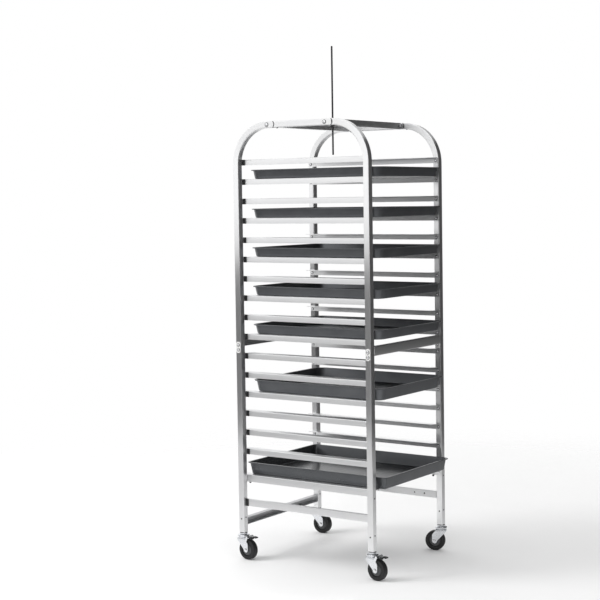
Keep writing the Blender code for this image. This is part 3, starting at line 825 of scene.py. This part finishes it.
def build_pans():
    count = sum(node.startswith("sheet_pan_") for node in frame["nodes"])
    for i in range(1, count + 1):
        low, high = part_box("sheet_pan_{}".format(i))
        middle = (low + high) / 2
        wall_x = (high.x - low.x) / 2 - PAN_FLANGE
        wall_y = (high.y - low.y) / 2 - PAN_FLANGE
        corner, coat = (LARGE_PAN_CORNER, "large_pan") if i == count else (PAN_CORNER, "pan")
        rows = []
        for inset, height in pan_section(high.z - low.z):
            ring = pan_ring(wall_x - inset, wall_y - inset, corner - PAN_FLANGE - inset)
            rows.append([(middle.x + x, middle.y + y, low.z + height) for x, y in ring])
        bm = new_mesh()
        grid = skin(bm, rows, closed=True)
        bm.faces.new(grid[0])
        bm.faces.new(grid[-1])
        name = "pan_{}".format(i)
        make_piece(name, bm, coat, ["sheet_" + name], name, sharp=60)


# Sign rod

def build_sign_rod():
    low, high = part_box("sign_rod")
    middle = (low + high) / 2
    radius = (high.x - low.x) / 2
    tip = 0.0012
    bm = new_mesh()
    profile = [(0, low.z), (radius - tip, low.z), (radius, low.z + tip), (radius, high.z - tip),
               (radius - tip, high.z), (0, high.z)]
    lathe(bm, profile, 24, ALONG_Z, (middle.x, middle.y, 0))
    make_piece("sign_rod_steel", bm, "rod", ["sign_rod"])
    low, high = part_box("rod_clamp")
    middle = (low + high) / 2
    half = high - middle
    outline = [(a * half.x, b * half.y) for a, b in rounded_square(1, 0.3)]
    start, end = (middle.x, middle.y, low.z), (middle.x, middle.y, high.z)
    bm = new_mesh()
    sweep(bm, outline, straight(start, end, X, Y))
    clamp = make_piece("rod_clamp_block", bm, "rod", ["rod_clamp"])
    add_bevel(clamp, 0.0008)
    bm = new_mesh()
    socket_screw(bm, (middle.x, low.y, middle.z), (0, -1, 0), 0.0034, 0.0018)
    make_piece("rod_clamp_screw", bm, "screw")


# Casters

def smooth_step(value, start, end):
    t = min(1, max(0, (value - start) / (end - start)))
    return t * t * (3 - 2 * t)


def leg_reach(z):
    """Front and rear edge of a fork leg at height z, in X."""
    if z <= WHEEL_RADIUS:
        half = math.sqrt(max(0, FORK_END ** 2 - (WHEEL_RADIUS - z) ** 2))
        return TRAIL - half, TRAIL + half
    front_x, front_z = FORK_FRONT
    step, step_z = FORK_REAR
    rise = min(1, (z - WHEEL_RADIUS) / (front_z - WHEEL_RADIUS))
    front = TRAIL - FORK_END + (front_x - TRAIL + FORK_END) * rise
    return front, TRAIL + FORK_END - step * smooth_step(z, step_z, CROWN_Z)


def fork_rows():
    """Rows of the fork's middle surface, as (y, z, front, rear): up one leg, over the crown and down."""
    rows = []
    for i in range(8):
        z = WHEEL_RADIUS - FORK_END * math.cos(math.pi / 2 * i / 7)
        rows.append((FORK_MIDDLE, z, *leg_reach(z)))
    rows[0] = (FORK_MIDDLE, rows[0][1], TRAIL - 0.0008, TRAIL + 0.0008)
    shoulder = CROWN_Z - FORK_FOLD
    for i in range(1, 9):
        z = WHEEL_RADIUS + (shoulder - WHEEL_RADIUS) * i / 8
        rows.append((FORK_MIDDLE, z, *leg_reach(z)))
    for i in range(1, 7):
        angle = math.pi / 2 * i / 6
        y = FORK_MIDDLE - FORK_FOLD * (1 - math.cos(angle))
        z = shoulder + FORK_FOLD * math.sin(angle)
        crown = math.sqrt(CROWN_RADIUS ** 2 - y ** 2)
        front, rear = leg_reach(z)
        t = i / 6
        rows.append((y, z, front + (-crown - front) * t, rear + (crown - rear) * t))
    flat = FORK_MIDDLE - FORK_FOLD
    for i in range(1, 5):
        y = flat * (1 - i / 5)
        crown = math.sqrt(CROWN_RADIUS ** 2 - y ** 2)
        rows.append((y, CROWN_Z, -crown, crown))
    return rows + [(-y, z, front, rear) for y, z, front, rear in reversed(rows)]


def build_fork(name, place):
    columns = 8
    bm = new_mesh()
    skin(bm, [[(front + (rear - front) * i / columns, y, z) for i in range(columns + 1)]
              for y, z, front, rear in fork_rows()])
    fork = make_piece("fork_plate_" + name, bm, "zinc", ["caster_fork_" + name], "swivel_" + name,
                      sharp=60, place=place)
    add_thickness(fork, FORK_PLATE)
    add_bevel(fork, 0.0005)

    bm = new_mesh()
    top = CROWN_Z + FORK_PLATE / 2
    lathe(bm, [(0.006, top - 0.0005), (0.0178, top - 0.0005), (0.0186, top + 0.0006), (0.0180, top + 0.0022),
               (0.0160, top + 0.0030), (0.006, top + 0.0030)], 40, ALONG_Z, closed=True)
    make_piece("fork_race_" + name, bm, "zinc", body="swivel_" + name, place=place)


def build_ears(name, place):
    """The cheeks on a braked fork that carry the pedal's hinge."""
    radius = 0.0048
    pivot_x, pivot_z = PEDAL_PIVOT
    outline = [(0.0150, 0.0690), (0.0270, 0.0690)]
    for i in range(9):
        angle = math.radians(-30 + 25 * i)
        outline.append((pivot_x + radius * math.cos(angle), pivot_z + radius * math.sin(angle)))
    bm = new_mesh()
    for face in (-1, 1):
        start = face * (FORK_MIDDLE + FORK_PLATE / 2 + 0.0001)
        sweep(bm, outline, straight((0, start, 0), (0, start + face * 0.0012, 0), X, Z))
    ears = make_piece("fork_ears_" + name, bm, "zinc", body="swivel_" + name, place=place)
    add_bevel(ears, 0.0003)


def build_bolt(name, place):
    outside = FORK_MIDDLE + FORK_PLATE / 2
    hub = Vector((TRAIL, 0, WHEEL_RADIUS))
    bm = new_mesh()
    for face in (-1, 1):
        at = hub + Vector((0, face * (outside + 0.0001), 0))
        lathe(bm, [(0, 0), (0.0074, 0), (0.0074, 0.0006), (0.0070, 0.0008), (0, 0.0008)], 28,
              turn_to((0, face, 0)), at)
        hex_head(bm, at + Vector((0, face * 0.0008, 0)), (0, face, 0), 0.0058, 0.0028)
    lathe(bm, [(0, -outside), (0.0040, -outside), (0.0040, outside), (0, outside)], 20, ALONG_Y, hub)
    make_piece("axle_bolt_" + name, bm, "screw", ["caster_bolt_" + name], "swivel_" + name, place=place)


def build_wheel(name, place):
    hub = Vector((TRAIL, 0, WHEEL_RADIUS))
    half, shoulder, inner, seat = 0.0128, 0.0052, 0.0242, 0.0284
    profile = [(seat, -0.0046), (inner, -0.0046), (inner, -half + 0.0022), (inner + 0.0006, -half + 0.0010),
               (0.0262, -half + 0.0004), (0.0318, -half), (0.0322, -half + 0.0005),
               (0.0330, -half + 0.0005), (0.0334, -half), (WHEEL_RADIUS - shoulder, -half)]
    for i in range(1, 7):
        angle = math.pi / 2 * i / 6
        profile.append((WHEEL_RADIUS - shoulder * (1 - math.sin(angle)),
                        -half + shoulder * (1 - math.cos(angle))))
    profile += [(radius, -y) for radius, y in reversed(profile)]
    bm = new_mesh()
    lathe(bm, profile, 64, ALONG_Y, hub, closed=True)
    make_piece("tyre_" + name, bm, "rubber", ["caster_tyre_" + name], "wheel_" + name, place=place)

    profile = [(0.0043, -0.0138), (0.0088, -0.0138), (0.0094, -0.0132), (0.0098, -0.0116), (0.0106, -0.0108),
               (0.0200, -0.0104), (0.0212, -0.0100), (0.0218, -0.0090), (0.0220, -0.0062), (0.0236, -0.0062),
               (0.0238, -0.0042), (seat - 0.0002, -0.0040)]
    profile += [(radius, -y) for radius, y in reversed(profile)]
    bm = new_mesh()
    lathe(bm, profile, 56, ALONG_Y, hub, closed=True)
    make_piece("hub_" + name, bm, "hub", ["caster_hub_" + name], "wheel_" + name, place=place)


def build_stem(name, place):
    """The stem with its upper race, and the ring, washer and seal round it."""
    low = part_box("caster_stem_" + name)[0].z
    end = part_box("lower_post_" + name)[0].z
    race = 0.0910
    ring, ring_end = race + 0.0092, end - 0.0024
    collar, collar_end = end - 0.0022, end - 0.0004
    stem = [(0, low), (0.0080, low), (0.0085, low + 0.0006), (0.0085, 0.0842), (0.0050, 0.0842),
            (0.0050, race), (0.0205, race), (0.0226, race - 0.0006), (0.0234, race + 0.0004),
            (0.0235, race + 0.0040), (0.0226, race + 0.0058), (0.0205, race + 0.0068),
            (0.0150, race + 0.0076), (0.0120, race + 0.0080), (0.0120, end - 0.0003), (0, end - 0.0003)]
    loops = (
        ("stem_ring_", "zinc", 36,
         [(0.0122, ring), (0.0156, ring), (0.0162, ring + 0.0006), (0.0162, ring_end - 0.0006),
          (0.0156, ring_end), (0.0122, ring_end)]),
        ("stem_washer_", "black", 36,
         [(0.0122, collar), (0.0146, collar), (0.0150, collar + 0.0005), (0.0150, collar_end),
          (0.0122, collar_end)]),
        ("ball_seal_", "black", 32,
         [(0.0070, 0.0884), (0.0145, 0.0884), (0.0150, 0.0896), (0.0145, 0.0908), (0.0070, 0.0908)]),
    )
    bm = new_mesh()
    lathe(bm, stem, 40, ALONG_Z)
    make_piece("stem_" + name, bm, "zinc", ["caster_stem_" + name], place=place)
    for piece, finish, steps, profile in loops:
        bm = new_mesh()
        lathe(bm, profile, steps, ALONG_Z, closed=True)
        make_piece(piece + name, bm, finish, place=place)


def build_pedal(name, place):
    pivot_x, pivot_z = PEDAL_PIVOT
    body = "pedal_" + name
    # The middle of the lever's plate, as (distance from the pivot, height, half width)
    rows = [(-0.0032, 0.0030, 0.0100), (0.0000, 0.0044, 0.0104), (0.0050, 0.0040, 0.0102),
            (0.0120, 0.0028, 0.0085), (0.0220, 0.0024, 0.0072), (0.0300, 0.0030, 0.0072)]
    bm = new_mesh()
    skin(bm, [[(pivot_x + x, half * (i / 3 - 1), pivot_z + z) for i in range(7)] for x, z, half in rows])
    lever = make_piece("pedal_lever_" + name, bm, "lever", ["brake_pedal_" + name], body,
                       sharp=60, place=place)
    add_thickness(lever, 0.0014)
    add_bevel(lever, 0.0003)

    bm = new_mesh()
    lathe(bm, [(0, -0.0170), (0.0020, -0.0170), (0.0020, -0.0141), (0.0040, -0.0141), (0.0040, 0.0141),
               (0.0020, 0.0141), (0.0020, 0.0170), (0, 0.0170)], 24, ALONG_Y, (pivot_x, 0, pivot_z))
    make_piece("pedal_barrel_" + name, bm, "lever", body=body, place=place)

    bm = new_mesh()
    tip = PEDAL_TIP - 0.0003
    outline = [(a * 0.0085, b * 0.0027) for a, b in rounded_square(1, 0.45)]
    start, end = (tip - 0.0150, 0, pivot_z + 0.0022), (tip, 0, pivot_z + 0.0012)
    sweep(bm, outline, straight(start, end, Y, Z))
    shoe = [(a * 0.0090, b * 0.0026) for a, b in rounded_square(1, 0.3)]
    start, end = (pivot_x + 0.0130, 0, pivot_z + 0.0018), (pivot_x + 0.0134, 0, pivot_z - 0.0092)
    sweep(bm, shoe, straight(start, end, Y, X))
    pad = make_piece("pedal_pad_" + name, bm, "black", body=body, place=place)
    add_bevel(pad, 0.0006)


def build_casters():
    joints = {joint["name"]: joint for joint in frame["joints"]}
    for name in CORNERS:
        low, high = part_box("caster_stem_" + name)
        foot = (low + high) / 2
        axle = Vector(joints["roll_" + name]["pos_m"])
        heading = math.atan2(axle.y - foot.y, axle.x - foot.x)
        place = Matrix.Translation((foot.x, foot.y, 0)) @ Matrix.Rotation(heading, 4, "Z")
        build_stem(name, place)
        build_fork(name, place)
        build_bolt(name, place)
        build_wheel(name, place)
        if "brake_pedal_" + name in frame["nodes"]:
            build_ears(name, place)
            build_pedal(name, place)


# Studio

def stage_mesh(name, bm, material):
    obj = object_from(name, bm)
    obj.data.materials.append(material)
    return obj


def build_floor():
    """A pale floor that fades out with distance into the white surroundings."""
    nodes = Nodes("pale_floor")
    nodes.color(nodes.ramp(nodes.noise(nodes.coordinates(2)), (0.83, 0.83, 0.83), (0.85, 0.85, 0.85)))
    nodes.set(roughness=0.7)
    fade = nodes.ramp(nodes.distance_from_middle(), 1.0, 0.0, *FLOOR_FADE)
    nodes.link(fade, nodes.shader.inputs["Alpha"])
    bm = bmesh.new()
    bmesh.ops.create_circle(bm, cap_ends=True, segments=96, radius=FLOOR_FADE[1])
    stage_mesh("floor", bm, nodes.material)


def build_reflection_card(name, nodes, tone, towards, width, centre, rims):
    """A curved card that shows in reflections only. towards and width are angles about centre, in degrees,
    and rims are its two edges as (radius, height). tone is a number or a socket."""
    glow = nodes.add("ShaderNodeEmission")
    if isinstance(tone, float):
        glow.inputs["Color"].default_value = (tone, tone, tone, 1)
    else:
        nodes.link(tone, glow.inputs["Color"])
    nodes.link(glow.outputs["Emission"], nodes.tree.nodes["Material Output"].inputs["Surface"])
    rows = []
    for i in range(25):
        angle = math.radians(towards - width / 2 + width * i / 24)
        rows.append([(centre.x + radius * math.cos(angle), centre.y + radius * math.sin(angle), z)
                     for radius, z in rims])
    bm = bmesh.new()
    skin(bm, rows)
    card = stage_mesh(name, bm, nodes.material)
    card.visible_camera = False
    card.visible_diffuse = False
    card.visible_shadow = False


def build_wall_card(name, towards, width, low, high, distance, tone):
    build_reflection_card(name, Nodes(name), tone, towards, width, RACK, ((distance, low), (distance, high)))


def build_floor_card(name, towards, width, fade, near_tone, far_tone):
    """A card just above the floor. Its tone changes with distance, as given by fade."""
    nodes = Nodes(name)
    tone = nodes.ramp(nodes.distance_from_middle(), near_tone, far_tone, *fade)
    rims = ((fade[0], FLOOR_CARD_Z), (FLOOR_CARD_END, FLOOR_CARD_Z))
    build_reflection_card(name, nodes, tone, towards, width, Vector(), rims)


def build_key_light():
    light = bpy.data.lights.new("key_light", "AREA")
    light.shape = "DISK"
    light.size = 2.2
    light.energy = 120
    lamp = new_object("key_light", light)
    lamp.visible_glossy = False
    lamp.location = KEY_LIGHT
    lamp.rotation_mode = "QUATERNION"
    lamp.rotation_quaternion = (Vector(KEY_LIGHT_AIM) - Vector(KEY_LIGHT)).to_track_quat("-Z", "Y")


def build_studio():
    world = bpy.data.worlds.new("studio")
    bpy.context.scene.world = world
    world.use_nodes = True
    background = world.node_tree.nodes["Background"]
    background.inputs["Color"].default_value = (1, 1, 1, 1)
    background.inputs["Strength"].default_value = 1.0
    build_floor()
    build_wall_card("dark_card", -68, 166, 0.0, 4.2, 2.8, 0.07)
    build_wall_card("grey_card", 145, 100, 0.08, 1.08, 2.8, 0.19)
    build_wall_card("bright_card", 145, 130, 1.30, 4.5, 2.9, 1.16)
    build_floor_card("front_floor_card", -35, 140, (0.52, 1.60), 0.70, 0.36)
    build_floor_card("rear_floor_card", 145, 140, (0.60, 1.80), 0.95, 0.70)
    build_key_light()


def build_camera():
    camera = bpy.data.cameras.new("camera")
    camera.lens = LENS
    camera.shift_x, camera.shift_y = SHIFT
    camera.clip_end = 200
    obj = new_object("camera", camera)
    azimuth, elevation = math.radians(AZIMUTH), math.radians(ELEVATION)
    back = Vector((math.sin(azimuth) * math.cos(elevation), -math.cos(azimuth) * math.cos(elevation),
                   math.sin(elevation)))
    target = Vector((RACK.x, RACK.y, 0)) + Vector(LOOK_AT)
    obj.location = target + back * DISTANCE
    obj.rotation_mode = "QUATERNION"
    obj.rotation_quaternion = (-back).to_track_quat("-Z", "Y") @ Quaternion(Z, math.radians(ROLL))
    bpy.context.scene.camera = obj


for build in (build_posts, build_top_bars, build_splices, build_cross_members, build_cross_screws,
              build_stretchers, build_slides, build_slide_end_shade, build_runners, build_frame_screws,
              build_pans, build_sign_rod, build_casters, build_studio, build_camera):
    build()
bpy.context.scene.view_settings.view_transform = "Standard"
